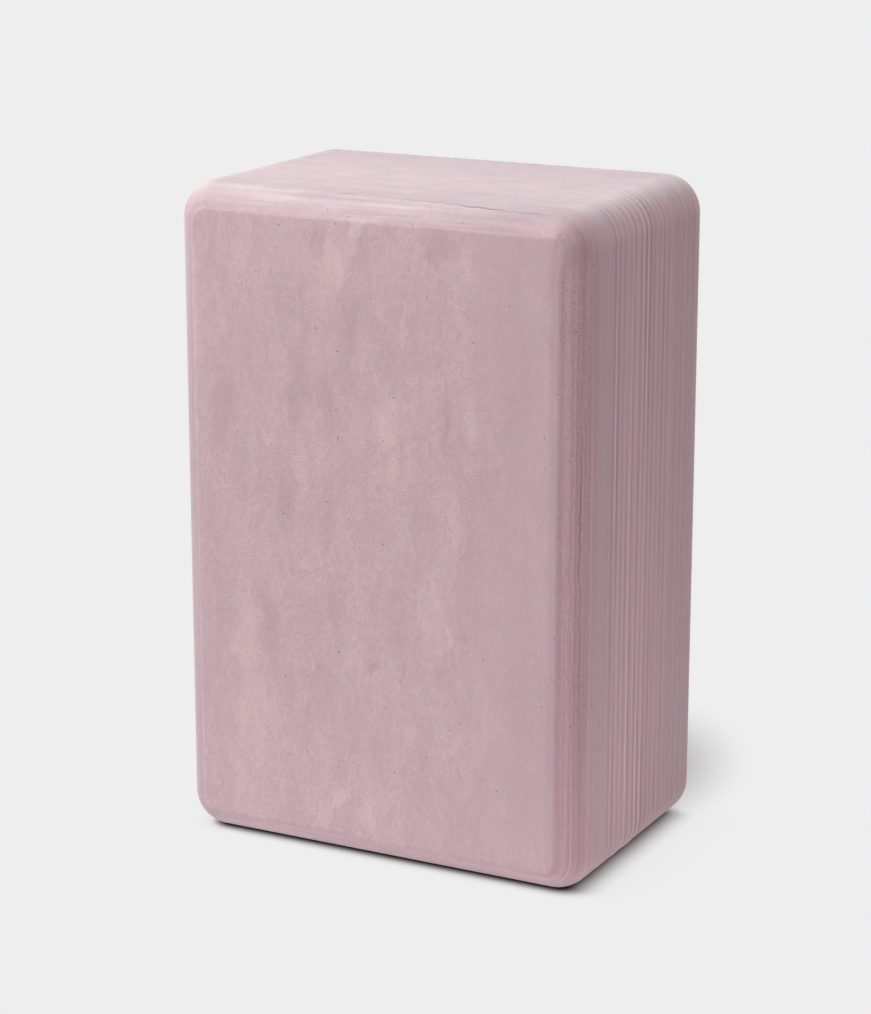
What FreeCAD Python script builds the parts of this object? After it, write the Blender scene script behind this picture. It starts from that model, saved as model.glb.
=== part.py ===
import FreeCAD, Part
import os

# Foam exercise block, standing on its small end.
# Tinted foam sheets are laid up face to face, pressed and fused into one thick slab.
# The slab is cut to the block's outline, and a round-over bit then runs round both large faces.
# Every sheet is its own solid here, with its own slice of the rounded rims.
#
# Frame, in millimetres: origin at the middle of the bottom face, +Z up the long side,
# X across the width, Y through the sheets with the front large face towards -Y.

# Overall size of the finished block
BLOCK_HEIGHT = 228.6
BLOCK_WIDTH = 152.4
BLOCK_DEPTH = 101.6

# Round-over bit that shapes the rims of the front and back faces
BIT_RADIUS = 12.5
# Depth that is left off the bit's full quarter round, so that a crease stays round each large face
BIT_SHOULDER = 0.55
# How much larger the four long corners are cut than the bit that runs round them
CORNER_EXTRA = 0.5

# Gauge of the foam sheets, which each sheet's own share makes a little thinner or thicker
SHEET_GAUGE = 4.0

# Sheets of the front rim, from the front
FRONT_RIM_TINTS = ("rose", "mauve", "rose")
FRONT_RIM_GAUGE_SHARES = (0.85, 1.10, 1.10)
# Sheets of the plain zone behind it
QUIET_TINTS = ("grey", "grey", "grey")
QUIET_GAUGE_SHARES = (1.25, 0.90, 0.90)
# Sheets of the striped zone
STRIPED_TINTS = (
    "rose", "mauve", "rose", "rose", "mauve", "rose",
    "mauve", "rose", "mauve", "rose", "mauve",
)
STRIPED_GAUGE_SHARES = (1.00, 0.90, 1.10, 1.25, 0.90, 0.95, 0.90, 0.90, 0.95, 1.10, 0.85)
# Sheets of the back zone, which fill the depth that the other zones leave
BACK_TINTS = ("grey", "mauve", "grey", "mauve", "grey", "rose", "mauve", "rose")
BACK_FILL_SHARES = (1.03, 1.02, 1.00, 1.05, 1.10, 1.10, 1.10, 1.10)

# How far a cutting solid reaches past what it cuts
OVERRUN = 5.0


def zone(tints, shares, gauge):
    """The sheets of one zone, as (tint, thickness)."""
    return [(tint, share * gauge) for tint, share in zip(tints, shares)]


def lay_up():
    """All the sheets from the front to the back, as (tint, thickness)."""
    sheets = zone(FRONT_RIM_TINTS, FRONT_RIM_GAUGE_SHARES, SHEET_GAUGE)
    sheets += zone(QUIET_TINTS, QUIET_GAUGE_SHARES, SHEET_GAUGE)
    sheets += zone(STRIPED_TINTS, STRIPED_GAUGE_SHARES, SHEET_GAUGE)
    depth_left = BLOCK_DEPTH - sum(thickness for tint, thickness in sheets)
    back_gauge = depth_left / sum(BACK_FILL_SHARES)
    return sheets + zone(BACK_TINTS, BACK_FILL_SHARES, back_gauge)


def outline_slab():
    """The pressed slab cut to the block's outline, with a bit shoulder to spare on each large face."""
    slab_depth = BLOCK_DEPTH + 2 * BIT_SHOULDER
    corner = FreeCAD.Vector(-BLOCK_WIDTH / 2, -slab_depth / 2, 0)
    slab = Part.makeBox(BLOCK_WIDTH, slab_depth, BLOCK_HEIGHT, corner)
    long_corners = [edge for edge in slab.Edges if runs_through_the_sheets(edge)]
    return slab.makeFillet(BIT_RADIUS + CORNER_EXTRA, long_corners)


def runs_through_the_sheets(edge):
    """True for a straight edge along Y."""
    start, end = edge.firstVertex().Point, edge.lastVertex().Point
    return abs(start.y - end.y) > abs(start.x - end.x) + abs(start.z - end.z)


def rim_edges(slab):
    """The outline's edges on the two large faces."""
    return [edge for edge in slab.Edges if not runs_through_the_sheets(edge)]


def between(front_y, back_y):
    """A box that takes in everything between two planes across the sheets."""
    reach = BLOCK_WIDTH / 2 + OVERRUN
    corner = FreeCAD.Vector(-reach, front_y, -OVERRUN)
    return Part.makeBox(2 * reach, back_y - front_y, BLOCK_HEIGHT + 2 * OVERRUN, corner)


def routed_block():
    """The whole block: quarter-round rims, cut back by the shoulder so that a crease is left."""
    slab = outline_slab()
    rounded = slab.makeFillet(BIT_RADIUS, rim_edges(slab))
    return rounded.common(between(-BLOCK_DEPTH / 2, BLOCK_DEPTH / 2))


def split_into_sheets(block):
    """Each sheet as (node name, solid), from the front to the back."""
    sheets = []
    front_y = -BLOCK_DEPTH / 2
    for number, (tint, thickness) in enumerate(lay_up(), start=1):
        back_y = front_y + thickness
        sheets.append((f"sheet_{number:02d}_{tint}", block.common(between(front_y, back_y))))
        front_y = back_y
    return sheets


def main():
    os.makedirs("parts", exist_ok=True)
    block = routed_block()
    sheets = split_into_sheets(block)
    for name, sheet in sheets:
        sheet.Solids[0].exportStep(f"parts/{name}.step")
    sheet_volume = sum(sheet.Volume for name, sheet in sheets)
    print(f"{len(sheets)} sheets, {sheet_volume:.0f} of {block.Volume:.0f} cubic millimetres")


main()
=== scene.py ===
import math

import bpy
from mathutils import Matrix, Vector


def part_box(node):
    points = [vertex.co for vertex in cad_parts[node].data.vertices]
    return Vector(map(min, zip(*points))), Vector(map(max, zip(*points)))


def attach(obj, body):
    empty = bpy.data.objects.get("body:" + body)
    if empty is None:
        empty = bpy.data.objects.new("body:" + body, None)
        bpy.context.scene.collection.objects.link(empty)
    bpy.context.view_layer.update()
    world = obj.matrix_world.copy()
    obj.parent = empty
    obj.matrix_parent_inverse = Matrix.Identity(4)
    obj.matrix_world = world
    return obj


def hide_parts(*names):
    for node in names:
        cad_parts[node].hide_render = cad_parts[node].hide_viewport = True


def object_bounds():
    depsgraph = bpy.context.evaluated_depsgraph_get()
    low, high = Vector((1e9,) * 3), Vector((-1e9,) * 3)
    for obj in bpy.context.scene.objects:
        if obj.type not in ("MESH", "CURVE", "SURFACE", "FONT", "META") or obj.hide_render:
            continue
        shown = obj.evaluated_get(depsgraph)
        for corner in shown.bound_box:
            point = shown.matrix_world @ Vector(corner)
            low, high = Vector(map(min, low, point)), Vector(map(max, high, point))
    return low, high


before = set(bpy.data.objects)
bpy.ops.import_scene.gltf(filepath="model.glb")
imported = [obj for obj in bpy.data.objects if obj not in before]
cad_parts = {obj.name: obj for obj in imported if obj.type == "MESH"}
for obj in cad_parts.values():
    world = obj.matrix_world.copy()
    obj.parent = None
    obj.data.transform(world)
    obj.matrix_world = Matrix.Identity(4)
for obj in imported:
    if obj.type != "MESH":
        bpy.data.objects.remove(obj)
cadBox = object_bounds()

mm = 0.001
blockLow = Vector(cadBox[0])
blockHigh = Vector(cadBox[1])
blockSize = blockHigh - blockLow
print("frame loaded:", len(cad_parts), "sheets,", [round(side / mm, 1) for side in blockSize], "mm")


# node helpers, for the shape tree and for the finishes

def put(tree, kind, ins=None, **settings):
    made = tree.nodes.new(kind)
    for key, value in settings.items():
        setattr(made, key, value)
    for key, value in (ins or {}).items():
        feed(tree, made.inputs[key], value)
    return made


def feed(tree, socket, value):  # a socket is linked, anything else is a plain value
    if isinstance(value, bpy.types.NodeSocket):
        tree.links.new(value, socket)
    else:
        socket.default_value = value


def calc(tree, operation, *terms):
    return put(tree, "ShaderNodeMath", dict(enumerate(terms)), operation=operation).outputs[0]


def times(tree, *terms):
    total = terms[0]
    for term in terms[1:]:
        total = calc(tree, "MULTIPLY", total, term)
    return total


def added(tree, total, value, share):  # total + value * share
    return calc(tree, "MULTIPLY_ADD", value, share, total)


def ranged(tree, value, low, high, toLow=0.0, toHigh=1.0, smooth=False):
    ins = {"Value": value, "From Min": low, "From Max": high, "To Min": toLow, "To Max": toHigh}
    kind = "SMOOTHSTEP" if smooth else "LINEAR"
    return put(tree, "ShaderNodeMapRange", ins, interpolation_type=kind).outputs["Result"]


def vec(tree, x, y, z):
    return put(tree, "ShaderNodeCombineXYZ", {0: x, 1: y, 2: z}).outputs[0]


def parts(tree, vector):
    return put(tree, "ShaderNodeSeparateXYZ", {0: vector}).outputs


def vecCalc(tree, operation, *terms):
    made = put(tree, "ShaderNodeVectorMath", dict(enumerate(terms)), operation=operation)
    return made.outputs["Value"] if operation == "LENGTH" else made.outputs[0]


def stretched(tree, vector, factor):
    return put(tree, "ShaderNodeVectorMath", {0: vector, "Scale": factor}, operation="SCALE").outputs[0]


def turned(tree, vector, axis, angle, middle=(0.0, 0.0, 0.0)):
    ins = {"Vector": vector, "Center": middle, "Angle": angle}
    return put(tree, "ShaderNodeVectorRotate", ins, rotation_type=axis).outputs[0]


def blended(tree, share, low, high, kind="MIX"):  # of two colours
    ins = {"Factor": share, 6: low, 7: high}
    return put(tree, "ShaderNodeMix", ins, data_type="RGBA", blend_type=kind).outputs[2]


# the sheets: a box of quads, bent to the outline and the routed rims

sheetShape = {
    "cornerRadius": 13.0 * mm,
    "bitRadius": 12.5 * mm,
    "shoulder": 0.55 * mm,
    "creaseDrop": 0.10 * mm,                # how far the large faces roll down into their crease
    "rightDrop": 0.55 * mm,                 # and the softer roll on the right
    "rightTurn": (0.3, 1.0),                # how far right an edge faces where that begins and is whole
    "rollPower": 3.0,
    "ridgeHeight": 0.28 * mm,               # fused seams stand a little proud of the foam between them
    "ridgeReach": 0.65 * mm,
    "hollowGap": 1.90 * mm,                 # behind each seam the foam is hollowed a little
    "hollowReach": 0.75 * mm,
    "comeAndGo": (0.32, 0.68, 0.25, 1.0),   # range of the noise along a seam, and its least and full height
    "comeAndGoScale": 1.3,
    "comeAndGoShift": (3.1, 40.0, 8.7),
    "endRelief": 0.30,                      # share of that relief on the top and the bottom
    "endTurn": (0.60, 0.995),               # how far up or down an edge faces where the relief fades
    "seamWave": 0.30 * mm,
    "faceWave": 0.06 * mm,
    "waveRange": (0.25, 0.75, -1.0, 1.0),
    "waveAcross": 55.0,                     # waves in a metre
    "waveAlong": 9.0,
    "laneStep": 7.3,
    "sharpAngle": 35.0,
    "cornerColumns": 12,
    "faceStep": 2.0 * mm,                   # quads of the two outer sheets, and of the others
    "innerStep": 4.0 * mm,
    "faceRings": 25,
    "innerRings": 15,
    "seed": 4.0,
    # how plainly each seam's ridge and the hollow behind it show, from the front, in relief and as painted
    # highlight and shade
    "ridgeShow": (0.11, 0.10, 0.06, 0.09, 0.00, 0.76, 0.33, 0.40, 0.90, 0.24, 1.00, 1.00,
                  0.26, 0.27, 0.38, 0.11, 0.30, 0.00, 0.08, 0.25, 0.05, 0.15, 0.28, 0.20),
    "hollowShow": (0.08, 0.00, 0.04, 0.08, 0.43, 0.83, 0.29, 0.66, 0.79, 0.40, 1.00, 0.95,
                   0.62, 0.14, 0.75, 0.12, 0.08, 0.07, 0.33, 0.00, 0.08, 0.08, 0.17, 0.25),
    "ridgeBreadth": (0.8, 1.2, 1.0, 1.0, 1.2, 0.9, 0.7, 1.2, 0.75, 1.1, 0.8, 0.85),   # repeats to the back
}

sheetInputs = {
    "NodeSocketFloat": (
        "Width", "Height", "Corner Radius", "Bit Radius", "Shoulder", "Block Front", "Block Back",
        "Front Seam", "Back Seam", "Front Wave", "Back Wave", "Front Lane", "Back Lane",
        "Front Ridge", "Back Ridge", "Front Hollow", "Front Face", "Back Face", "Crease Drop", "Right Drop",
        "Ridge Height", "Front Reach", "Back Reach", "Hollow Gap", "Hollow Reach", "End Relief",
        "Corner Share X", "Corner Share Z", "Seed"),
    "NodeSocketInt": ("Columns", "Rows", "Rings"),
    "NodeSocketMaterial": ("Foam",),
}


def makeSheetTree():
    tree = bpy.data.node_groups.new("foamSheet", "GeometryNodeTree")
    sockets = {}
    for kind, names in sheetInputs.items():
        for name in names:
            sockets[name] = tree.interface.new_socket(name, in_out="INPUT", socket_type=kind).identifier
    tree.interface.new_socket("Sheet", in_out="OUTPUT", socket_type="NodeSocketGeometry")
    given = tree.nodes.new("NodeGroupInput").outputs

    box = put(tree, "GeometryNodeMeshCube", {
        "Size": (2.0, 2.0, 2.0), "Vertices X": given["Columns"],
        "Vertices Y": given["Rings"], "Vertices Z": given["Rows"]})
    place = parts(tree, tree.nodes.new("GeometryNodeInputPosition").outputs[0])
    radius = given["Corner Radius"]

    # straight run and corner run of one axis, so that the corners get their own count of columns
    def runs(along, halfSide, cornerShare):
        sign = calc(tree, "SIGN", along)
        away = calc(tree, "ABSOLUTE", along)
        turn = calc(tree, "SUBTRACT", 1.0, cornerShare)
        straight = ranged(tree, away, 0.0, turn, 0.0, calc(tree, "SUBTRACT", halfSide, radius))
        corner = ranged(tree, away, turn, 1.0, 0.0, radius)
        return times(tree, sign, straight), times(tree, sign, corner)

    halfWidth = times(tree, given["Width"], 0.5)
    halfHeight = times(tree, given["Height"], 0.5)
    straightX, cornerX = runs(place[0], halfWidth, given["Corner Share X"])
    straightZ, cornerZ = runs(place[2], halfHeight, given["Corner Share Z"])
    inner = vec(tree, straightX, 0.0, straightZ)
    outward = vecCalc(tree, "NORMALIZE", vec(tree, cornerX, 0.0, cornerZ))
    reach = calc(tree, "MAXIMUM", calc(tree, "ABSOLUTE", cornerX), calc(tree, "ABSOLUTE", cornerZ))
    flat = parts(tree, vecCalc(tree, "ADD", inner, stretched(tree, outward, reach)))

    # the large faces roll down towards their crease, most on the right
    facing = parts(tree, outward)
    drop = ranged(tree, facing[0], *sheetShape["rightTurn"], given["Crease Drop"], given["Right Drop"],
                  smooth=True)
    outwards = calc(tree, "DIVIDE", reach, radius)
    rolled = times(tree, calc(tree, "POWER", outwards, sheetShape["rollPower"]), drop)

    # a seam waves quickly across the sheet and slowly along it, and its two sheets share the wave
    def lane(name):
        shifted = calc(tree, "ADD", times(tree, given[name + " Lane"], sheetShape["laneStep"]), given["Seed"])
        return vec(tree, times(tree, flat[0], sheetShape["waveAcross"]), shifted,
                   times(tree, flat[2], sheetShape["waveAlong"]))

    def noise(spot, scale):
        ins = {"Vector": spot, "Scale": scale, "Detail": 2.0, "Roughness": 0.5}
        return put(tree, "ShaderNodeTexNoise", ins).outputs[0]

    def seam(name, inwards):
        swing = ranged(tree, noise(lane(name), 1.0), *sheetShape["waveRange"])
        waved = added(tree, given[name + " Seam"], swing, given[name + " Wave"])
        return added(tree, waved, times(tree, rolled, given[name + " Face"]), inwards)

    frontSeam = seam("Front", 1.0)
    backSeam = seam("Back", -1.0)
    depth = ranged(tree, place[1], -1.0, 1.0, frontSeam, backSeam)

    # rim: quarter round of the bit, less its shoulder
    bit = given["Bit Radius"]
    center = calc(tree, "ADD", calc(tree, "SUBTRACT", bit, given["Shoulder"]), drop)
    fromFront = calc(tree, "SUBTRACT", depth, given["Block Front"])
    fromBack = calc(tree, "SUBTRACT", given["Block Back"], depth)
    nearest = calc(tree, "MINIMUM", fromFront, fromBack)
    up = calc(tree, "MAXIMUM", calc(tree, "SUBTRACT", center, nearest), 0.0)
    chord = calc(tree, "SQRT", calc(tree, "SUBTRACT", times(tree, bit, bit), times(tree, up, up)))
    inset = calc(tree, "SUBTRACT", bit, chord)

    # seams: a soft ridge that comes and goes along its lane, with a hollow behind it
    def bell(name, gap, reached, show):
        off = calc(tree, "DIVIDE", gap, given[reached])
        bulge = calc(tree, "EXPONENT", times(tree, off, off, -1.0))
        spot = vecCalc(tree, "ADD", lane(name), sheetShape["comeAndGoShift"])
        along = ranged(tree, noise(spot, sheetShape["comeAndGoScale"]), *sheetShape["comeAndGo"])
        return times(tree, bulge, along, given[show])

    behindFront = calc(tree, "SUBTRACT", depth, frontSeam)
    beforeBack = calc(tree, "SUBTRACT", backSeam, depth)
    upright = calc(tree, "ABSOLUTE", facing[2])
    relief = ranged(tree, upright, *sheetShape["endTurn"], 1.0, given["End Relief"], smooth=True)
    ridges = calc(tree, "ADD", bell("Front", behindFront, "Front Reach", "Front Ridge"),
                  bell("Back", beforeBack, "Back Reach", "Back Ridge"))
    seamShare = times(tree, ridges, relief)
    toHollow = calc(tree, "SUBTRACT", behindFront, given["Hollow Gap"])
    hollowShare = times(tree, bell("Front", toHollow, "Hollow Reach", "Front Hollow"), relief)
    recess = times(tree, calc(tree, "SUBTRACT", 1.0, seamShare), given["Ridge Height"])
    left = calc(tree, "SUBTRACT", calc(tree, "SUBTRACT", radius, inset), recess)
    pulled = times(tree, reach, calc(tree, "DIVIDE", left, radius))
    bent = vecCalc(tree, "ADD", inner, stretched(tree, outward, pulled))
    bent = vecCalc(tree, "ADD", bent, vec(tree, 0.0, depth, halfHeight))

    marked = box.outputs["Mesh"]   # the shares are stored while the box is still square
    # the finish paints a highlight on the seam crests and shade in the hollows from these shares
    for name, share in (("seam", seamShare), ("hollow", hollowShare)):
        ins = {"Geometry": marked, "Name": name, "Value": share}
        marked = put(tree, "GeometryNodeStoreNamedAttribute", ins,
                     data_type="FLOAT", domain="POINT").outputs[0]
    shaped = put(tree, "GeometryNodeSetPosition", {"Geometry": marked, "Position": bent}).outputs[0]
    smooth = put(tree, "GeometryNodeSetShadeSmooth", {"Geometry": shaped, "Shade Smooth": True},
                 domain="FACE").outputs[0]
    angle = tree.nodes.new("GeometryNodeInputMeshEdgeAngle").outputs["Unsigned Angle"]
    steep = calc(tree, "GREATER_THAN", angle, math.radians(sheetShape["sharpAngle"]))
    sharp = put(tree, "GeometryNodeSetShadeSmooth",
                {"Geometry": smooth, "Selection": steep, "Shade Smooth": False}, domain="EDGE").outputs[0]
    real = put(tree, "GeometryNodeRealizeInstances", {0: sharp}).outputs[0]
    dressed = put(tree, "GeometryNodeSetMaterial", {"Geometry": real, "Material": given["Foam"]}).outputs[0]
    tree.links.new(dressed, tree.nodes.new("NodeGroupOutput").inputs[0])
    return tree, sockets


def makeSheet(tree, sockets, name, sizes, finish):
    holder = bpy.data.objects.new(name + "_shape", bpy.data.meshes.new(name + "_shape"))
    bpy.context.scene.collection.objects.link(holder)
    shape = holder.modifiers.new("foamSheet", "NODES")
    shape.node_group = tree
    for key, value in sizes.items():
        shape[sockets[key]] = value
    shape[sockets["Foam"]] = finish
    drawn = holder.evaluated_get(bpy.context.evaluated_depsgraph_get())
    mesh = bpy.data.meshes.new_from_object(drawn)
    bpy.data.objects.remove(holder)
    mesh.materials.pop(index=0)   # the box comes with an empty slot
    mesh.name = name
    piece = bpy.data.objects.new(name, mesh)
    bpy.context.scene.collection.objects.link(piece)
    return piece


# finishes: one figure runs through all the foam, and each sheet shows its own cut through it

foamFigure = {
    # sizes across, through and along the sheets, throws and swings in mm
    "swirl": {"size": (7.0, 6.0, 11.0), "throw": (4.5, 0.4, 7.0)},
    "ruffle": {"size": (1.7, 1.7, 2.8), "throw": (1.5, 0.2, 2.8)},
    "clouds": {"size": (13.0, 9.0, 34.0), "strength": 0.32},
    "patches": {"size": (5.0, 5.0, 15.0), "strength": 0.10},      # with plainer edges than the clouds
    "hairs": {"size": (1.1, 2.0, 12.0), "strength": 0.80},        # fine dark lines along the front
    "scuffs": {"size": (40.0, 0.55, 10.0), "strength": 0.45},     # slanted ones where the sides are plain
    "streaks": {"size": (2.4, 2.4, 12.0), "strength": 0.22},
    "flecks": {"size": (1.2, 1.2, 2.0), "strength": 0.58},
    "layers": {"size": (70.0, 1.5, 160.0), "strength": 0.56},     # only on the cut sides
    "combing": {"size": (60.0, 0.40, 180.0), "strength": 0.62},   # fine lines that the knife leaves there
    "wisps": {"size": (17.0, 1.1, 60.0), "strength": 0.50},       # on the top, the bottom and the rims
    "grain": {"size": (0.45, 0.45, 0.45), "strength": 0.36},
    "suede": {"size": (0.27, 0.27, 0.28)},                        # nap of the rim that isn't rubbed smooth
    "blush": {"size": (5.0, 3.0, 9.0)},                           # pinker and greyer spots
    "crack": {"size": (6.0, 6.0, 6.0), "swing": 0.40},
    "seedStep": (7.3, 3.1, 5.7),
    "noiseRoughness": 0.6,
    "noiseRange": (0.25, 0.75),
    "markEdge": (0.25, 1.30),       # share of a mark's reach where it begins to fade and where it ends
    "patchEdge": 0.24,
    "hairWidth": 0.14,
    "scuffWidth": 0.10,
    "scuffLean": 15.0,
    "lineChance": (0.05, 0.5),      # where in the blush the fine lines begin and are whole
    "pitCell": 4.2,
    "pitSize": (0.14, 0.40),
    "pitChance": 0.35,              # cells below it are closed
    "pitLeast": 0.10,
    "speckChance": 0.20,
}

# where a part of the finish begins and is whole, in mm, and its share before and after
foamZones = {
    # below a large face
    "skin": (0.30, 0.65, 1.0, 0.0),
    "rim": (4.8, 7.2, 1.0, 0.0),
    "rounding": (6.0, 11.0, 1.0, 0.0),
    "cornerDepth": (3.0, 9.0, 0.0, 1.0),
    # behind the front face
    "quietBegins": (8.0, 11.0, 0.0, 1.0),
    "quietEnds": (22.0, 28.0, 1.0, 0.0),
    "stripesBegin": (22.0, 30.0, 0.0, 1.0),
    "stripesEnd": (46.0, 58.0, 0.0, 1.0),
    "darkerBack": (54.0, 92.0, 0.0, -0.50),
    # painted shade: a dark line in the right crease, and a paler band beside it
    "creaseBegins": (0.35, 0.60, 0.0, 1.0),
    "creaseEnds": (0.75, 1.30, 0.0, 1.0),
    "besideBegins": (0.8, 1.8, 0.0, 1.0),
    "besideEnds": (6.0, 8.4, 0.0, 1.0),
    # across the block
    "right": (50.0, 64.0, 0.0, 1.0),
    "left": (-57.0, -67.0, 0.0, 1.0),
    "rosier": (40.0, 60.0, 0.5, 1.0),
    "plainerFront": (26.0, 46.0, 0.0, -0.55),
    # painted light on the ends: lighter on the left, darker on the right
    "endLightFalloff": (-50.0, 60.0, 0.24, -0.48),
    "cornerAcross": (61.0, 69.0, 0.0, 1.0),
    # up the block
    "high": (205.0, 218.0, 0.0, 1.0),
    "topRim": (214.0, 219.0, 0.0, 1.0),
    "cornerUp": (213.0, 221.0, 0.0, 1.0),
    "contours": (40.0, 110.0, 0.8, -0.5),
    "lowWisps": (14.0, 30.0, 0.45, 1.0),
    "lowNap": (15.0, 90.0, 0.25, 1.0),
    "highNap": (200.0, 218.0, 1.0, 0.45),
    # painted bounce light on the flat sides: lighter low, darker high
    "sideBounceLight": (30.0, 205.0, 0.12, -0.20),
    "leftTone": (130.0, 215.0, -1.00, -0.20),
    # depth of the painted crease shade and of the paler band beside it, up the block
    "creaseShadeTone": (15.0, 60.0, -0.5, -1.3),
    "besideTone": (60.0, 120.0, 0.04, 0.48),
    # from its middle towards both ends
    "ends": (106.0, 113.0, 0.0, 1.0),
}

# how much of the figure those parts take or add
foamShares = {
    "roseOnTop": 0.5,
    "busyCut": -0.35,
    "sidesOnEnds": -0.65,
    "flecksInNap": -0.5,
    "cloudsOnEnds": 1.5,
    # painted sheen: how much paler the top rim is
    "rimSheenTone": 0.15,
    "stripedTone": 0.34,
    # painted highlight on the rounded top corners
    "cornerHighlight": 1.35,
    "marks": 0.90,
}

# marks in the front face's figure: x, z, half width, half height in mm, lean in degrees, tone
frontMarks = (
    (5, 153, 5.5, 9, 0, 1.0), (4, 166, 3, 6, 0, 0.5), (7, 139, 2, 6, 0, 0.6), (-15, 204, 5, 13, 0, 0.55),
    (-6, 216, 2.6, 6, 20, 1.0), (23, 90, 7.5, 17, 0, 0.65), (29, 85, 1.6, 5, -8, 0.8),
    (30, 124, 2, 10, -6, 0.55), (14, 117, 1.4, 10, -9, 0.55), (-28, 136, 2.6, 10, -5, 0.5),
    (-50, 66, 4.5, 30, 2, 0.45), (-52, 22, 3.4, 15, 0, 0.5), (-14, 21, 2, 14, 26, 0.95),
    (-20, 14, 2, 8, 30, 0.6), (-3, 18, 3.2, 6, 0, 0.75), (35, 160, 2.6, 11, 0, 0.5), (15, 47, 3, 7, 0, 0.5),
    (42, 60, 2.6, 13, 0, 0.35), (12, 187, 2.2, 9, 10, 0.45), (34, 211, 2.4, 8, 0, 0.5),
    (-48, 207, 4, 12, 0, 0.35), (8, 208, 5.5, 11, 15, 0.35), (-38, 93, 3.2, 5, 0, 0.4),
    (36, 142, 2.5, 7, 0, 0.35), (-57, 154, 5, 14, 0, -0.85), (-20, 212, 2.6, 5, 0, -0.8),
    (-28, 164, 7, 14, 10, -0.7), (-17, 158, 3.5, 11, 0, -0.65), (-33, 123, 4, 14, 0, -0.65),
    (-17, 122, 3, 17, 0, -0.55), (-40, 75, 4.2, 24, -5, -0.65), (-13, 90, 3.2, 18, 0, -0.5),
    (0, 71, 2.6, 3.5, 0, -1.0), (12, 70, 1.4, 6, 0, -1.0), (27, 157, 2, 10, 0, -0.8),
    (24, 214, 5.5, 7, -20, -0.9), (-8, 184, 4.5, 24, 0, -0.45), (41, 140, 1.2, 12, 0, -0.4),
    (-4, 211, 4, 7, 0, -0.5), (37, 108, 5.5, 24, 0, -0.3), (-32, 57, 3.2, 11, 0, -0.4),
    (-57, 78, 3.6, 7, 0, -0.4), (20, 42, 3, 6, 0, -0.3), (-27, 190, 5, 11, 0, -0.35),
    (52, 175, 6, 40, 0, -0.25), (56, 48, 11, 40, 0, -0.3), (-10, 210, 60, 20, 0, 0.34),
    (-50, 36, 17, 38, 0, 0.32),
)

# streaks and hairline cracks of the top rim: x, depth, half length, half thickness in mm, lean, tone
rimStreaks = (
    # the light streak at x 27 runs below the cracks: a painted highlight on their lip
    (-28, 3.2, 27, 0.8, 0, 0.55), (-38, 6.8, 18, 0.8, 0, 0.6), (27, 5.75, 22, 0.4, 2.4, 0.9),
    (-4, 4.9, 20, 0.7, 1, -0.4), (6, 3.4, 14, 2.6, 0, 0.3), (46, 3.4, 22, 4.0, 0, -0.5),
)
rimCracks = (
    (17, 6.65, 13, 0.26, 2.4, 0.7), (37, 5.80, 11, 0.36, 2.6, 1.1), (54, 5.15, 7, 0.24, 1.5, 0.6),
    (-13, 7.6, 4, 0.28, 0, 0.8),
)

# and of the right rim, with z first
sideStreaks = (
    (128, 2.4, 90, 0.25, 0, -0.8), (136, 2.85, 80, 0.20, 0, 0.25), (120, 3.4, 95, 0.35, 0, -0.7),
    (118, 4.6, 100, 0.30, 0, -0.7), (130, 5.05, 90, 0.24, 0, 0.55), (120, 7.3, 100, 0.5, 0, -0.35),
    (116, 8.4, 105, 0.28, 0, 0.6),
)
sideCracks = (
    (130, 4.5, 27, 0.20, 0, 0.85), (88, 4.9, 30, 0.18, 0, 0.45), (40, 5.3, 24, 0.17, 0, 0.25),
    (152, 5.7, 15, 0.22, 0, 0.35),
)


def mottle(tree, place, name, seed, detail=2.0, color=False):  # noise from -1 to 1
    finer = tuple(1.0 / side for side in foamFigure[name]["size"])
    shift = tuple(seed * step for step in foamFigure["seedStep"])
    spot = vecCalc(tree, "MULTIPLY_ADD", place, finer, shift)
    ins = {"Vector": spot, "Scale": 1.0, "Detail": detail, "Roughness": foamFigure["noiseRoughness"]}
    made = put(tree, "ShaderNodeTexNoise", ins).outputs
    low, high = foamFigure["noiseRange"]
    if color:
        gain = 2.0 / (high - low)
        least = -gain * (low + high) / 2
        return vecCalc(tree, "MULTIPLY_ADD", made[1], (gain, gain, gain), (least, least, least))
    return ranged(tree, made[0], low, high, -1.0, 1.0)


def fade(tree, value, name, smooth=True):
    return ranged(tree, value, *foamZones[name], smooth=smooth)


def makeMark():  # one soft mark of the figure
    tree = bpy.data.node_groups.new("foamMark", "ShaderNodeTree")
    for name in ("Place", "Middle", "Reach"):
        tree.interface.new_socket(name, in_out="INPUT", socket_type="NodeSocketVector")
    for name in ("Lean", "Tone"):
        tree.interface.new_socket(name, in_out="INPUT", socket_type="NodeSocketFloat")
    tree.interface.new_socket("Tone", in_out="OUTPUT", socket_type="NodeSocketFloat")
    given = tree.nodes.new("NodeGroupInput").outputs
    leaning = turned(tree, given["Place"], "Y_AXIS", given["Lean"], given["Middle"])
    off = vecCalc(tree, "MULTIPLY", vecCalc(tree, "SUBTRACT", leaning, given["Middle"]), given["Reach"])
    away = vecCalc(tree, "LENGTH", off)
    tone = ranged(tree, away, *foamFigure["markEdge"], given["Tone"], 0.0, smooth=True)
    tree.links.new(tone, tree.nodes.new("NodeGroupOutput").inputs[0])
    return tree


def markSum(tree, mark, place, marks, strength=1.0):
    total = 0.0
    for x, z, halfWidth, halfHeight, lean, tone in marks:
        spot = put(tree, "ShaderNodeGroup", {
            "Place": place, "Middle": (x, 0.0, z), "Reach": (1.0 / halfWidth, 0.0, 1.0 / halfHeight),
            "Lean": math.radians(-lean), "Tone": strength * tone}, node_tree=mark)
        total = calc(tree, "ADD", total, spot.outputs[0])
    return total


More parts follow.
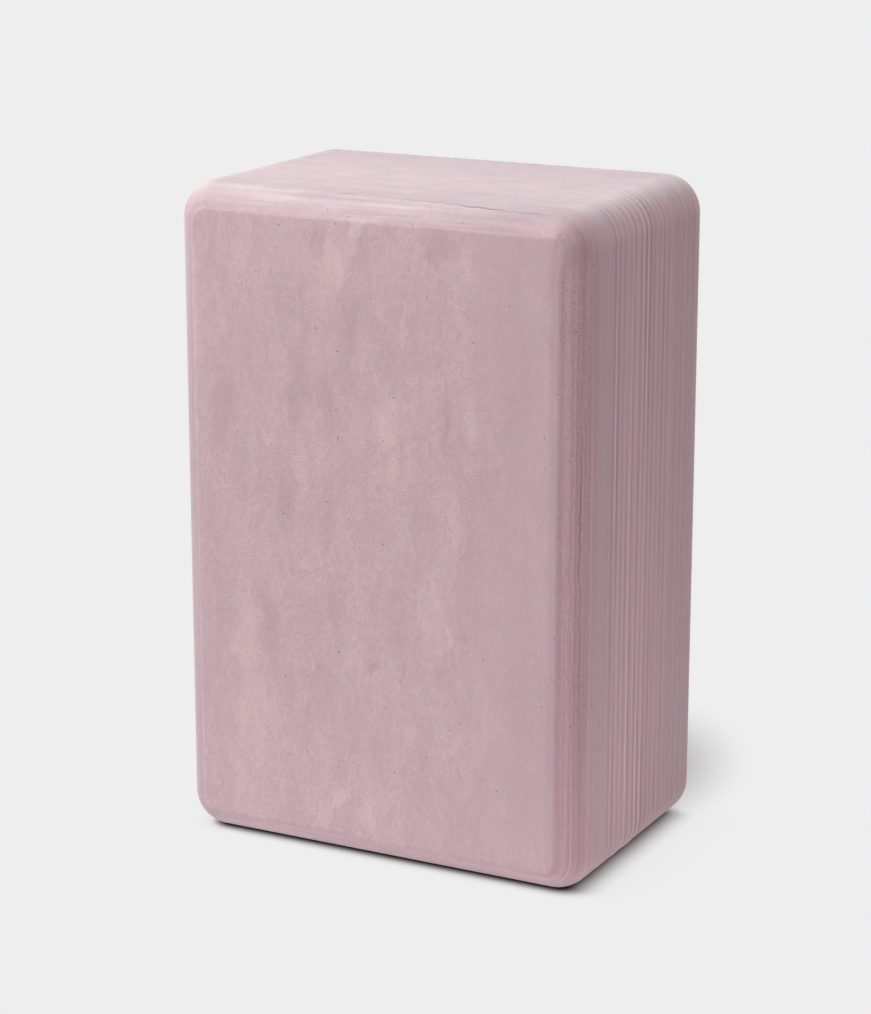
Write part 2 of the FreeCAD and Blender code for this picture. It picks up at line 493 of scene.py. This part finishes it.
def foamPlaces(tree, place):  # shares that tell which part of the block a point is on
    across, through, along = parts(tree, place)
    depth = calc(tree, "SUBTRACT", through, blockLow.y / mm)
    fromBack = calc(tree, "SUBTRACT", blockHigh.y / mm, through)
    fromMiddle = calc(tree, "ABSOLUTE", calc(tree, "SUBTRACT", along, blockSize.z / mm / 2))
    toFace = calc(tree, "MINIMUM", depth, fromBack)
    front = fade(tree, depth, "skin")
    skin = calc(tree, "ADD", front, fade(tree, fromBack, "skin"))
    cut = calc(tree, "SUBTRACT", 1.0, skin)
    return {
        "across": across, "along": along, "depth": depth, "toFace": toFace,
        "front": front, "skin": skin, "cut": cut,
        "rim": times(tree, fade(tree, toFace, "rim"), cut),
        "rounding": times(tree, fade(tree, toFace, "rounding"), cut),
        "right": fade(tree, across, "right"),
        "left": fade(tree, across, "left"),
        "high": fade(tree, along, "high"),
        "ends": times(tree, fade(tree, fromMiddle, "ends"), cut),
    }


def rimTone(tree, at):  # painted shade: a dark line in the right rim's crease, and the rim paler beside it
    depth = at["depth"]
    crease = calc(tree, "SUBTRACT", fade(tree, depth, "creaseBegins"), fade(tree, depth, "creaseEnds"))
    crease = times(tree, crease, fade(tree, at["along"], "creaseShadeTone", smooth=False))
    beside = calc(tree, "SUBTRACT", fade(tree, depth, "besideBegins"), fade(tree, depth, "besideEnds"))
    beside = times(tree, beside, fade(tree, at["along"], "besideTone"))
    return times(tree, calc(tree, "ADD", crease, beside), calc(tree, "SUBTRACT", 1.0, at["high"]))


def zoneTone(tree, at):  # the striped sheets are a little lighter than those at the back
    depth = at["depth"]
    striped = calc(tree, "SUBTRACT", fade(tree, depth, "stripesBegin"), fade(tree, depth, "stripesEnd"))
    return added(tree, fade(tree, depth, "darkerBack"), striped, foamShares["stripedTone"])


def wandering(tree, along, depth, seed):  # place of a streak that wanders along a rim
    swing = mottle(tree, vec(tree, along, 0.0, 0.0), "crack", seed, detail=3.0)
    return vec(tree, along, 0.0, added(tree, depth, swing, foamFigure["crack"]["swing"]))


def openCells(tree, place):  # most of them shallow, and a few pale specks
    cell = foamFigure["pitCell"]
    closed = foamFigure["pitChance"]
    cells = put(tree, "ShaderNodeTexVoronoi", {"Vector": place, "Scale": 1.0 / cell}, feature="F1").outputs
    chance = put(tree, "ShaderNodeSeparateColor", {0: cells["Color"]}).outputs[0]
    away = times(tree, cells["Distance"], cell)
    spot = ranged(tree, away, *foamFigure["pitSize"], 1.0, 0.0, smooth=True)
    deep = ranged(tree, chance, closed, 1.0, foamFigure["pitLeast"], 1.0)
    pit = times(tree, spot, deep, calc(tree, "GREATER_THAN", chance, closed))
    speck = times(tree, spot, calc(tree, "LESS_THAN", chance, foamFigure["speckChance"]))
    return pit, speck


def makeFigure(mark):  # the figure all through the foam, in object coordinates
    tree = bpy.data.node_groups.new("foamFigure", "ShaderNodeTree")
    place = stretched(tree, put(tree, "ShaderNodeTexCoord").outputs["Object"], 1.0 / mm)
    bent = place
    for seed, name in enumerate(("swirl", "ruffle")):
        swirled = bent
        throw = tuple(reach / 2 for reach in foamFigure[name]["throw"])
        bent = vecCalc(tree, "MULTIPLY_ADD", mottle(tree, place, name, seed + 1.0, color=True), throw, bent)

    at = foamPlaces(tree, place)
    across, along, depth = at["across"], at["along"], at["depth"]
    front, cut, ends = at["front"], at["cut"], at["ends"]
    right, left, high = at["right"], at["left"], at["high"]

    # smooth top and left rims with painted sheen that makes them greyer, and rosier rims
    sheenRims = calc(tree, "MAXIMUM", calc(tree, "SUBTRACT", high, right), left)
    pale = times(tree, at["rounding"], sheenRims)
    lessRose = calc(tree, "MAXIMUM", times(tree, high, foamShares["roseOnTop"]), left)
    rose = times(tree, at["rim"], calc(tree, "SUBTRACT", 1.0, lessRose), fade(tree, across, "rosier"))

    # the right third of the front is plainer, and the ends are smoother than the sides
    lively = added(tree, 1.0, front, fade(tree, across, "plainerFront"))
    busy = added(tree, lively, cut, foamShares["busyCut"])
    skinned = times(tree, at["skin"], lively)
    cloudy = added(tree, skinned, ends, foamShares["cloudsOnEnds"])
    sides = added(tree, cut, ends, foamShares["sidesOnEnds"])
    rightRound = times(tree, at["rounding"], right)
    combed = added(tree, sides, rightRound, fade(tree, along, "contours"))
    wispy = calc(tree, "MAXIMUM", ends, calc(tree, "SUBTRACT", at["rim"], right))
    wispy = times(tree, wispy, fade(tree, along, "lowWisps"))
    napped = times(tree, rightRound, fade(tree, along, "lowNap"), fade(tree, along, "highNap"))
    flecked = added(tree, busy, napped, foamShares["flecksInNap"])

    # fine lines: where a long noise passes zero, here and there
    def lines(name, spot, seed, width, shown):
        away = calc(tree, "ABSOLUTE", mottle(tree, spot, name, seed, detail=1.0))
        seldom = ranged(tree, mottle(tree, place, "blush", seed + 1.0), *foamFigure["lineChance"])
        return times(tree, ranged(tree, away, 0.0, width, -1.0, 0.0), seldom, shown)

    slanted = turned(tree, place, "X_AXIS", math.radians(foamFigure["scuffLean"]))
    quiet = times(tree, fade(tree, depth, "quietBegins"), fade(tree, depth, "quietEnds", smooth=False))
    edge = foamFigure["patchEdge"]
    patches = ranged(tree, mottle(tree, bent, "patches", 7.0), -edge, edge, -1.0, 1.0, smooth=True)
    grain = mottle(tree, place, "grain", 11.0, detail=1.0)
    tone = 0.0
    for name, made, share in (
            ("patches", patches, skinned),
            ("hairs", lines("hairs", swirled, 21.0, foamFigure["hairWidth"], front), 1.0),
            ("scuffs", lines("scuffs", slanted, 23.0, foamFigure["scuffWidth"], quiet), sides),
            ("clouds", mottle(tree, bent, "clouds", 3.0), cloudy),
            ("streaks", mottle(tree, bent, "streaks", 4.0), busy),
            ("flecks", mottle(tree, bent, "flecks", 5.0, detail=3.0), flecked),
            ("layers", mottle(tree, bent, "layers", 6.0), sides),
            ("combing", mottle(tree, place, "combing", 9.0), combed),
            ("wisps", mottle(tree, bent, "wisps", 10.0, detail=3.0), wispy),
            ("grain", grain, busy)):
        tone = added(tree, tone, times(tree, made, share), foamFigure[name]["strength"])

    # broad changes of tone
    # painted sheen makes the top rim paler; the left rim is darker, most towards the bottom
    rimSheen = added(tree, foamShares["rimSheenTone"], left, fade(tree, along, "leftTone", smooth=False))
    tone = added(tree, tone, pale, rimSheen)
    tone = added(tree, tone, zoneTone(tree, at), cut)
    # painted bounce light: the flat sides lighter low and darker high
    flatSides = calc(tree, "SUBTRACT", cut, calc(tree, "MAXIMUM", at["rounding"], ends))
    tone = added(tree, tone, flatSides, fade(tree, along, "sideBounceLight", smooth=False))
    # painted light: the ends lighter on the left and darker on the right
    tone = added(tree, tone, ends, fade(tree, across, "endLightFalloff", smooth=False))
    tone = added(tree, tone, rimTone(tree, at), right)
    # painted highlight on the rounded top corners
    corners = times(tree, fade(tree, calc(tree, "ABSOLUTE", across), "cornerAcross"),
                    fade(tree, along, "cornerUp"), fade(tree, at["toFace"], "cornerDepth", smooth=False))
    tone = added(tree, tone, corners, foamShares["cornerHighlight"])

    # streaks and cracks along the top rim and the right one
    onTop = wandering(tree, across, depth, 17.0)
    onSide = wandering(tree, along, depth, 19.0)
    topRim = times(tree, fade(tree, along, "topRim"), cut)
    sideRim = times(tree, right, cut)
    crack = times(tree, markSum(tree, mark, onTop, rimCracks), topRim)
    crack = added(tree, crack, markSum(tree, mark, onSide, sideCracks), sideRim)
    tone = added(tree, tone, markSum(tree, mark, onSide, sideStreaks), sideRim)
    tone = added(tree, tone, markSum(tree, mark, onTop, rimStreaks), topRim)
    pit, speck = openCells(tree, place)

    outlets = {
        "Tone": tone, "Grain": grain, "Pit": pit, "Speck": speck, "Crack": crack,
        "Suede": times(tree, mottle(tree, place, "suede", 13.0, detail=1.0), napped),
        "Blush": mottle(tree, bent, "blush", 15.0),
        "Rose": rose, "Pale": pale, "End": ends, "Front": front, "Bent": bent,
    }
    for name in outlets:
        kind = "NodeSocketVector" if name == "Bent" else "NodeSocketFloat"
        tree.interface.new_socket(name, in_out="OUTPUT", socket_type=kind)
    shown = tree.nodes.new("NodeGroupOutput").inputs
    for name, value in outlets.items():
        tree.links.new(value, shown[name])
    return tree


# dark, middle and light tone of each foam, how its routed rim differs, and the painted sheen that makes its
# top and left rims and its ends greyer
foamTones = {
    "face": {
        "dark": (0.415, 0.286, 0.326), "middle": (0.497, 0.348, 0.378), "light": (0.603, 0.446, 0.454),
        "rim": (1.075, 0.957, 1.000), "rimSheen": (0.930, 0.973, 0.960), "ends": (0.960, 1.092, 1.080),
    },
    "rose": {
        "dark": (0.435, 0.267, 0.297), "middle": (0.528, 0.331, 0.361), "light": (0.640, 0.418, 0.445),
        "rim": (1.00, 0.960, 0.985), "rimSheen": (0.990, 1.035, 1.035), "ends": (0.919, 1.136, 1.117),
    },
    "mauve": {
        "dark": (0.412, 0.254, 0.290), "middle": (0.500, 0.314, 0.352), "light": (0.606, 0.398, 0.436),
        "rim": (1.00, 0.955, 0.970), "rimSheen": (1.010, 1.075, 1.050), "ends": (0.955, 1.178, 1.137),
    },
    "grey": {
        "dark": (0.420, 0.267, 0.311), "middle": (0.510, 0.330, 0.378), "light": (0.618, 0.415, 0.465),
        "rim": (1.00, 0.970, 0.980), "rimSheen": (0.990, 1.035, 1.035), "ends": (0.941, 1.138, 1.082),
    },
}

foamSurface = {
    "plain": (1.0, 1.0, 1.0),
    "toneReach": 1.4,                     # tone at which the dark and the light colour are full
    "napReach": 0.8,
    "greyer": (0.975, 1.006, 1.008),
    "pinker": (1.025, 0.994, 0.992),
    "napDark": (0.740, 0.730, 0.715),
    "napLight": (1.260, 1.270, 1.285),
    # painted highlight on the seam crests and painted shade in the hollows behind them
    "seam": (1.54, 1.56, 1.54),
    "hollow": (0.55, 0.52, 0.54),
    # painted shade in the cracks and in the open cells
    "crack": (0.56, 0.52, 0.54),
    "pit": (0.45, 0.38, 0.42),
    "roughness": (0.52, 0.66),
    "specular": 0.4,
    "sheen": 0.12,
    "sheenRoughness": 0.45,
    "bumpHeight": 0.03 * mm,              # of the grain, and the others as shares of it
    "napBump": 1.2,
    "pitBump": -5.0,
    "crackBump": -6.0,
}


def foamFinish(name, tones, figure, mark=None, bumped=True):
    made = bpy.data.materials.new(name)
    made.use_nodes = True
    tree = made.node_tree
    shader = tree.nodes["Principled BSDF"]
    shown = put(tree, "ShaderNodeGroup", node_tree=figure).outputs
    seam = put(tree, "ShaderNodeAttribute", attribute_name="seam").outputs["Fac"]
    hollow = put(tree, "ShaderNodeAttribute", attribute_name="hollow").outputs["Fac"]
    tone = shown["Tone"]
    if mark:
        marks = markSum(tree, mark, shown["Bent"], frontMarks, foamShares["marks"])
        tone = added(tree, tone, marks, shown["Front"])
    tone = calc(tree, "ADD", tone, shown["Speck"])

    toneReach = foamSurface["toneReach"]
    ramp = put(tree, "ShaderNodeValToRGB", {0: ranged(tree, tone, -toneReach, toneReach)})
    stops = ramp.color_ramp.elements
    stops[0].color = (*tones["dark"], 1.0)
    stops[1].color = (*tones["light"], 1.0)
    stops.new(0.5).color = (*tones["middle"], 1.0)
    color = ramp.outputs[0]

    plain = foamSurface["plain"]
    blush = ranged(tree, shown["Blush"], -1.0, 1.0)
    nap = ranged(tree, shown["Suede"], -foamSurface["napReach"], foamSurface["napReach"])
    for share, low, high in (
            (blush, foamSurface["greyer"], foamSurface["pinker"]),
            (nap, foamSurface["napDark"], foamSurface["napLight"]),
            (shown["Rose"], plain, tones["rim"]),
            # painted sheen: the top and left rims greyer
            (shown["Pale"], plain, tones["rimSheen"]),
            # painted sheen: the ends are greyer
            (shown["End"], plain, tones["ends"]),
            # painted highlight on the seam crests, painted shade in the hollows
            (seam, plain, foamSurface["seam"]),
            (hollow, plain, foamSurface["hollow"]),
            # painted shade in the cracks and the open cells, which are also dented
            (shown["Crack"], plain, foamSurface["crack"]),
            (shown["Pit"], plain, foamSurface["pit"])):
        tint = blended(tree, share, (*low, 1.0), (*high, 1.0))
        color = blended(tree, 1.0, color, tint, "MULTIPLY")
    rough = ranged(tree, shown["Grain"], -1.0, 1.0, *foamSurface["roughness"])
    tree.links.new(color, shader.inputs["Base Color"])
    tree.links.new(rough, shader.inputs["Roughness"])
    shader.inputs["Specular IOR Level"].default_value = foamSurface["specular"]
    shader.inputs["Sheen Weight"].default_value = foamSurface["sheen"]
    shader.inputs["Sheen Roughness"].default_value = foamSurface["sheenRoughness"]
    if bumped:
        height = shown["Grain"]
        for part, share in (("Suede", "napBump"), ("Pit", "pitBump"), ("Crack", "crackBump")):
            height = added(tree, height, shown[part], foamSurface[share])
        ins = {"Strength": 1.0, "Distance": foamSurface["bumpHeight"], "Height": height}
        tree.links.new(put(tree, "ShaderNodeBump", ins).outputs[0], shader.inputs["Normal"])
    return made


markTree = makeMark()
figureTree = makeFigure(markTree)
foams = {
    "face": foamFinish("foamFace", foamTones["face"], figureTree, mark=markTree),
    "rose": foamFinish("foamRose", foamTones["rose"], figureTree),
    "mauve": foamFinish("foamMauve", foamTones["mauve"], figureTree, bumped=False),
    "grey": foamFinish("foamGrey", foamTones["grey"], figureTree),
}
print("foams mixed:", ", ".join(foams))


# the lay-up, from the front sheet to the back one

sheetTree, sheetSockets = makeSheetTree()
sheetNames = sorted(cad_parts)
lastSheet = len(sheetNames) - 1


def ridgeReach(seamNumber):
    breadths = sheetShape["ridgeBreadth"]
    return sheetShape["ridgeReach"] * breadths[seamNumber % len(breadths)]


def sheetSizes(number, frontY, backY):
    isFront = number == 0
    isBack = number == lastSheet
    isOuter = isFront or isBack
    frontWave = sheetShape["faceWave" if isFront else "seamWave"]
    backWave = sheetShape["faceWave" if isBack else "seamWave"]
    step = sheetShape["faceStep" if isOuter else "innerStep"]
    corners = 2 * sheetShape["cornerColumns"]
    columns = corners + round((blockSize.x - 2 * sheetShape["cornerRadius"]) / step)
    rows = corners + round((blockSize.z - 2 * sheetShape["cornerRadius"]) / step)
    return {
        "Width": blockSize.x, "Height": blockSize.z,
        "Corner Radius": sheetShape["cornerRadius"], "Bit Radius": sheetShape["bitRadius"],
        "Shoulder": sheetShape["shoulder"], "Block Front": blockLow.y, "Block Back": blockHigh.y,
        "Front Seam": frontY + (frontWave if isFront else 0.0),   # a waved face stays inside the block
        "Back Seam": backY - (backWave if isBack else 0.0),
        "Front Wave": frontWave, "Back Wave": backWave,
        "Front Lane": float(number), "Back Lane": float(number + 1),
        "Front Ridge": 0.0 if isFront else sheetShape["ridgeShow"][number - 1],
        "Back Ridge": 0.0 if isBack else sheetShape["ridgeShow"][number],
        "Front Hollow": 0.0 if isFront else sheetShape["hollowShow"][number - 1],
        "Front Face": float(isFront), "Back Face": float(isBack),
        "Crease Drop": sheetShape["creaseDrop"], "Right Drop": sheetShape["rightDrop"],
        "Ridge Height": sheetShape["ridgeHeight"],
        "Front Reach": ridgeReach(number - 1), "Back Reach": ridgeReach(number),
        "Hollow Gap": sheetShape["hollowGap"], "Hollow Reach": sheetShape["hollowReach"],
        "End Relief": sheetShape["endRelief"],
        "Corner Share X": corners / columns, "Corner Share Z": corners / rows,
        "Columns": columns + 1, "Rows": rows + 1,
        "Rings": sheetShape["faceRings" if isOuter else "innerRings"],
        "Seed": sheetShape["seed"],
    }


faceCount = 0
for number, nodeName in enumerate(sheetNames):
    tint = nodeName.split("_")[-1]
    low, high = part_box(nodeName)
    finish = foams["face" if number in (0, lastSheet) else tint]
    sizes = sheetSizes(number, low[1], high[1])
    piece = makeSheet(sheetTree, sheetSockets, "foam_" + nodeName, sizes, finish)
    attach(piece, "root")
    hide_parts(nodeName)
    faceCount += len(piece.data.polygons)
print("sheets laid up:", faceCount, "faces")


# studio: floor, soft light and the camera

studio = {
    "backdrop": 0.855,            # pale grey that the camera sees all round the block
    "ambient": 0.12,
    "floorColor": (0.76, 0.76, 0.76),
    "floorRoughness": 0.9,
    # painted contact shadow: the floor's own colour right by the block
    "contactShadow": (0.03, 0.03, 0.03),
    "floorSize": 12.0,
    "bounce": 0.36,               # the lit floor round the block throws light back on its lower part
    "bounceMiddle": (0.08, 0.01, 0.0),
    "bounceReach": (0.12, 0.32),
    "sideShare": 0.72,            # the shadow reaches farther at the sides than in front
    "underShare": 0.95,
    "underReach": (2.7 * mm, 8.7 * mm),      # from the line where the block stands on the floor
    "shadowReach": (2.7 * mm, 12.8 * mm),
    "shadowEnd": 28.0 * mm,
    "shadowFade": 0.95,           # share of the shadow that the pale floor swallows within that reach
    "castMiddle": (0.0, 0.060, 0.0),         # shadow that falls behind the block, as an ellipse
    "castSize": (0.080, 0.100),
    "castReach": (0.56, 1.08),
}

# azimuth and elevation in degrees, distance and size in metres, power in watts
lamps = {
    "key": (-50.0, 42.0, 1.3, 1.0, 18.9),
    "overhead": (75.0, 83.0, 1.3, 1.1, 7.4),
    "rightFill": (90.0, 8.0, 3.0, 1.2, 7.8),
    "backGlow": (-172.0, 18.0, 3.0, 2.0, 18.5),
}


def makeFloor():
    half = studio["floorSize"] / 2
    corners = [(-half, -half, 0), (half, -half, 0), (half, half, 0), (-half, half, 0)]
    mesh = bpy.data.meshes.new("floor")
    mesh.from_pydata(corners, [], [(0, 1, 2, 3)])
    mesh.materials.append(paperFloor())
    floor = bpy.data.objects.new("floor", mesh)
    bpy.context.scene.collection.objects.link(floor)


def paperFloor():
    made = bpy.data.materials.new("paperFloor")
    made.use_nodes = True
    tree = made.node_tree
    shader = tree.nodes["Principled BSDF"]
    shader.inputs["Roughness"].default_value = studio["floorRoughness"]
    shader.inputs["Specular IOR Level"].default_value = 0.0
    place = put(tree, "ShaderNodeTexCoord").outputs["Object"]

    # distance from the flat that the block stands on, inside its rounded rims and corners
    standing = (blockSize.x / 2 - sheetShape["cornerRadius"], blockSize.y / 2 - sheetShape["bitRadius"], 0.0)
    beyond = vecCalc(tree, "SUBTRACT", vecCalc(tree, "ABSOLUTE", place), standing)
    outside = vecCalc(tree, "MAXIMUM", beyond, (0.0, 0.0, 0.0))
    clear = vecCalc(tree, "LENGTH", vecCalc(tree, "MULTIPLY", outside, (studio["sideShare"], 1.0, 0.0)))
    close = vecCalc(tree, "LENGTH", vecCalc(tree, "MULTIPLY", outside, (studio["underShare"], 1.0, 0.0)))

    # how much of the shadow the pale floor swallows
    fadeShare = studio["shadowFade"]
    swallowed = ranged(tree, clear, *studio["shadowReach"], 0.0, fadeShare, smooth=True)
    rest = ranged(tree, clear, studio["shadowReach"][1], studio["shadowEnd"], 0.0, 1.0 - fadeShare)
    castWidth, castDepth = studio["castSize"]
    fromCast = vecCalc(tree, "SUBTRACT", place, studio["castMiddle"])
    castPlace = vecCalc(tree, "MULTIPLY", fromCast, (1.0 / castWidth, 1.0 / castDepth, 0.0))
    beyondCast = ranged(tree, vecCalc(tree, "LENGTH", castPlace), *studio["castReach"], smooth=True)
    pale = calc(tree, "MINIMUM", calc(tree, "ADD", swallowed, rest), beyondCast)
    # painted contact shadow: the floor's colour goes dark close to where the block stands
    under = ranged(tree, close, *studio["underReach"], smooth=True)
    paper = blended(tree, under, (*studio["contactShadow"], 1.0), (*studio["floorColor"], 1.0))
    tree.links.new(paper, shader.inputs["Base Color"])

    # the camera sees the backdrop's grey with the shadow on it, other rays a floor that lights the block
    fromBounce = vecCalc(tree, "LENGTH", vecCalc(tree, "SUBTRACT", place, studio["bounceMiddle"]))
    glow = ranged(tree, fromBounce, *studio["bounceReach"], studio["bounce"], 0.0, smooth=True)
    backdrop = put(tree, "ShaderNodeEmission", {"Strength": studio["backdrop"]}).outputs[0]
    bounce = put(tree, "ShaderNodeEmission", {"Strength": glow}).outputs[0]
    lit = put(tree, "ShaderNodeAddShader", {0: shader.outputs[0], 1: bounce}).outputs[0]
    plain = put(tree, "ShaderNodeMixShader", {0: pale, 1: shader.outputs[0], 2: backdrop}).outputs[0]
    both = put(tree, "ShaderNodeMixShader", {0: looked(tree), 1: lit, 2: plain}).outputs[0]
    tree.links.new(both, tree.nodes["Material Output"].inputs["Surface"])
    return made


def looked(tree):  # 1 for what the camera sees, also in a gloss or through something clear
    path = put(tree, "ShaderNodeLightPath").outputs
    direct = calc(tree, "MAXIMUM", path["Is Camera Ray"], path["Is Glossy Ray"])
    return calc(tree, "MAXIMUM", direct, path["Is Transmission Ray"])


def makeWorld():
    world = bpy.data.worlds.new("studio")
    bpy.context.scene.world = world
    world.use_nodes = True
    tree = world.node_tree
    tree.nodes.clear()
    level = ranged(tree, looked(tree), 0.0, 1.0, studio["ambient"], studio["backdrop"])
    light = put(tree, "ShaderNodeBackground", {"Color": (1.0, 1.0, 1.0, 1.0), "Strength": level})
    tree.links.new(light.outputs[0], put(tree, "ShaderNodeOutputWorld").inputs["Surface"])


def softbox(name, azimuth, elevation, distance, size, power):
    lamp = bpy.data.lights.new(name, "AREA")
    lamp.shape = "DISK"
    lamp.size = size
    lamp.energy = power
    made = bpy.data.objects.new(name, lamp)
    bpy.context.scene.collection.objects.link(made)
    back = around(azimuth, elevation)
    made.location = Vector((0.0, 0.0, blockSize.z / 2)) + back * distance
    made.rotation_euler = back.to_track_quat("Z", "Y").to_euler()
    made.visible_camera = False


def around(azimuth, elevation):  # unit vector from the block, azimuth 0 towards the front and 90 to the right
    a = math.radians(azimuth)
    e = math.radians(elevation)
    return Vector((math.sin(a) * math.cos(e), -math.cos(a) * math.cos(e), math.sin(e)))


makeFloor()
makeWorld()
for lampName, setting in lamps.items():
    softbox(lampName, *setting)
print("studio lit:", ", ".join(lamps))

photoView = {
    "azimuth": 27.526,
    "elevation": 14.994,
    "distance": 1006.304 * mm,
    "aim": (-3.114 * mm, 0.0, 113.289 * mm),
    "focalPixels": 2913.586,
    "framePixels": 1014,      # the frame's long side
    "filmWidth": 36.0,
    "nearest": 0.05,
    "farthest": 50.0,
}


def makeCamera():
    lens = bpy.data.cameras.new("photoView")
    lens.sensor_fit = "AUTO"
    lens.sensor_width = photoView["filmWidth"]
    lens.lens = photoView["focalPixels"] * photoView["filmWidth"] / photoView["framePixels"]
    lens.clip_start = photoView["nearest"]
    lens.clip_end = photoView["farthest"]
    camera = bpy.data.objects.new("photoView", lens)
    bpy.context.scene.collection.objects.link(camera)
    back = around(photoView["azimuth"], photoView["elevation"])
    camera.location = Vector(photoView["aim"]) + back * photoView["distance"]
    camera.rotation_euler = back.to_track_quat("Z", "Y").to_euler()
    bpy.context.scene.camera = camera


makeCamera()
bpy.context.scene.view_settings.view_transform = "Standard"
print("camera set")
